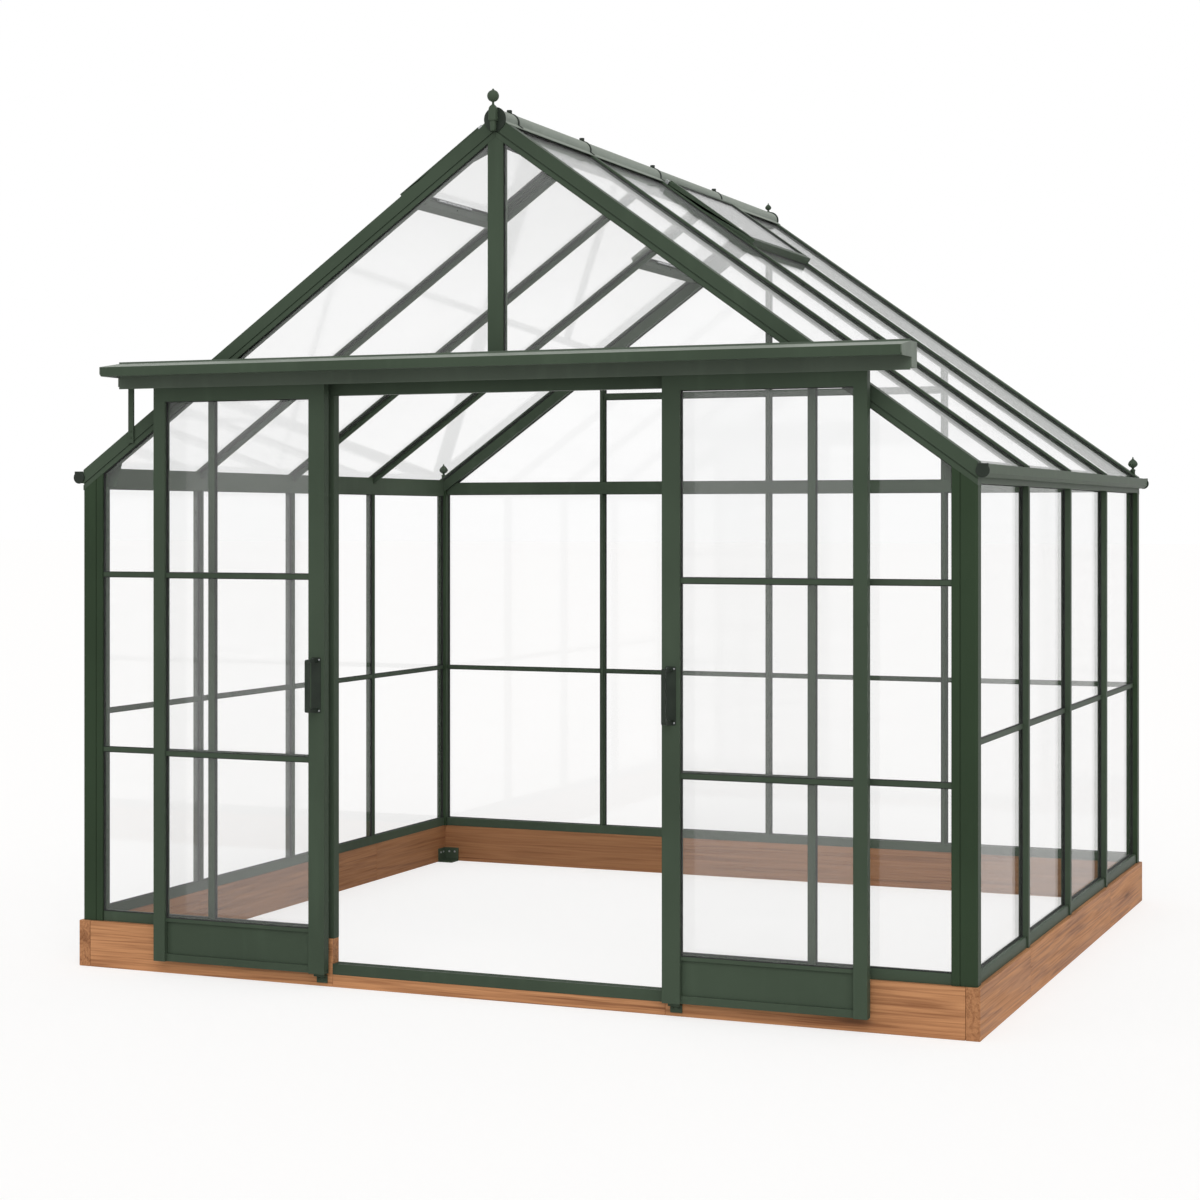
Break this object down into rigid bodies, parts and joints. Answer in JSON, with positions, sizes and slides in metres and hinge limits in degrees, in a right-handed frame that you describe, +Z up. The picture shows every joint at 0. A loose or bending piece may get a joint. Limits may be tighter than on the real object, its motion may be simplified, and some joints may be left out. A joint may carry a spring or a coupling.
{
  "type": "greenhouse",
  "caption": "Gabled garden greenhouse on a timber base, with sliding double doors under a canopy, gutters, a ridge with finials and hinged roof vents.",
  "frame": {"origin": "on the ground in the middle of the timber base", "axes": "+X to the right seen from the doors, +Y from the doors to the back wall, +Z up"},
  "size_m": [3.255, 3.0155, 2.957],
  "materials": {
    "green_frame": "satin powder coat",
    "dark_trim": "matt moulded",
    "timber": "stained softwood",
    "pane": "clear",
    "steel": "plain",
    "wheel": "matt"
  },
  "bodies": {
    "house": {"base_boards": "timber", "threshold_board": "timber", "corner_anchors": "green_frame", "sill_rails": "green_frame", "threshold_rail": "green_frame", "front_posts": "green_frame", "back_posts": "green_frame", "eaves_gutters": "green_frame", "gutter_end_caps": "dark_trim", "back_tie_rail": "green_frame", "front_rafters": "green_frame", "back_rafters": "green_frame", "ridge_beam": "green_frame", "ridge_cap": "green_frame", "ridge_end_caps": "dark_trim", "ridge_clips": "dark_trim", "roof_bars": "green_frame", "side_wall_bars": "green_frame", "back_wall_bars": "green_frame", "thin_rails": "green_frame", "front_bars": "green_frame", "door_jambs": "green_frame", "door_lintel": "green_frame", "gable_centre_bar": "green_frame", "header_beam": "green_frame", "door_track": "steel", "canopy": "green_frame", "header_end_caps": "dark_trim", "header_strut": "green_frame", "side_glass": "pane", "back_glass": "pane", "front_glass": "pane", "roof_glass": "pane", "vent_hinge_rods": "steel", "front_finial": "green_frame", "back_finials": "green_frame", "door_guides": "green_frame"},
    "door_left": {"door_left_frame": "green_frame", "door_left_kick_panel": "green_frame", "door_left_glass": "pane", "door_left_pulls": "dark_trim", "door_left_hangers": "steel"},
    "door_left_wheel_outer": {"door_left_wheel_outer": "wheel"},
    "door_left_wheel_inner": {"door_left_wheel_inner": "wheel"},
    "door_right": {"door_right_frame": "green_frame", "door_right_kick_panel": "green_frame", "door_right_glass": "pane", "door_right_pulls": "dark_trim", "door_right_hangers": "steel"},
    "door_right_wheel_outer": {"door_right_wheel_outer": "wheel"},
    "door_right_wheel_inner": {"door_right_wheel_inner": "wheel"},
    "vent_right": {"vent_right_frame": "green_frame", "vent_right_glass": "pane"},
    "vent_right_stay": {"vent_right_stay": "steel"},
    "vent_left_front": {"vent_left_front_frame": "green_frame", "vent_left_front_glass": "pane"},
    "vent_left_front_stay": {"vent_left_front_stay": "steel"},
    "vent_left_back": {"vent_left_back_frame": "green_frame", "vent_left_back_glass": "pane"},
    "vent_left_back_stay": {"vent_left_back_stay": "steel"}
  },
  "joints": [
    {"name": "door_left_slide", "type": "slide", "parent": "house", "child": "door_left", "axis": [1, 0, 0], "range_m": [0, 0.599]},
    {"name": "door_left_wheel_outer_roll", "type": "hinge", "parent": "door_left", "child": "door_left_wheel_outer", "pos_m": [-1.175, -1.44675, 2.0433], "axis": [0, 1, 0], "range_deg": [0, 1920]},
    {"name": "door_left_wheel_inner_roll", "type": "hinge", "parent": "door_left", "child": "door_left_wheel_inner", "pos_m": [-0.69, -1.44675, 2.0433], "axis": [0, 1, 0], "range_deg": [0, 1920]},
    {"name": "door_right_slide", "type": "slide", "parent": "house", "child": "door_right", "axis": [-1, 0, 0], "range_m": [0, 0.599]},
    {"name": "door_right_wheel_outer_roll", "type": "hinge", "parent": "door_right", "child": "door_right_wheel_outer", "pos_m": [1.175, -1.44675, 2.0433], "axis": [0, -1, 0], "range_deg": [0, 1920]},
    {"name": "door_right_wheel_inner_roll", "type": "hinge", "parent": "door_right", "child": "door_right_wheel_inner", "pos_m": [0.69, -1.44675, 2.0433], "axis": [0, -1, 0], "range_deg": [0, 1920]},
    {"name": "vent_right_hinge", "type": "hinge", "parent": "house", "child": "vent_right", "pos_m": [0.06293, 0.34563, 2.83972], "axis": [0, -1, 0], "range_deg": [0, 38]},
    {"name": "vent_right_stay_hinge", "type": "hinge", "parent": "vent_right", "child": "vent_right_stay", "pos_m": [0.37883, 0.21563, 2.61015], "axis": [-0.8127, 0, 0.5827], "range_deg": [0, 90]},
    {"name": "vent_left_front_hinge", "type": "hinge", "parent": "house", "child": "vent_left_front", "pos_m": [-0.06293, -1.03687, 2.83972], "axis": [0, 1, 0], "range_deg": [0, 38]},
    {"name": "vent_left_front_stay_hinge", "type": "hinge", "parent": "vent_left_front", "child": "vent_left_front_stay", "pos_m": [-0.33007, -1.16688, 2.64511], "axis": [-0.8127, 0, -0.5827], "range_deg": [0, 90]},
    {"name": "vent_left_back_hinge", "type": "hinge", "parent": "house", "child": "vent_left_back", "pos_m": [-0.06293, 1.03687, 2.83972], "axis": [0, 1, 0], "range_deg": [0, 38]},
    {"name": "vent_left_back_stay_hinge", "type": "hinge", "parent": "vent_left_back", "child": "vent_left_back_stay", "pos_m": [-0.33007, 0.90687, 2.64511], "axis": [-0.8127, 0, -0.5827], "range_deg": [0, 90]}
  ],
  "couplings": [
    {"joint": "door_left_wheel_outer_roll", "follows": "door_left_slide", "rad_per_m": 55.556},
    {"joint": "door_left_wheel_inner_roll", "follows": "door_left_slide", "rad_per_m": 55.556},
    {"joint": "door_right_wheel_outer_roll", "follows": "door_right_slide", "rad_per_m": 55.556},
    {"joint": "door_right_wheel_inner_roll", "follows": "door_right_slide", "rad_per_m": 55.556}
  ]
}
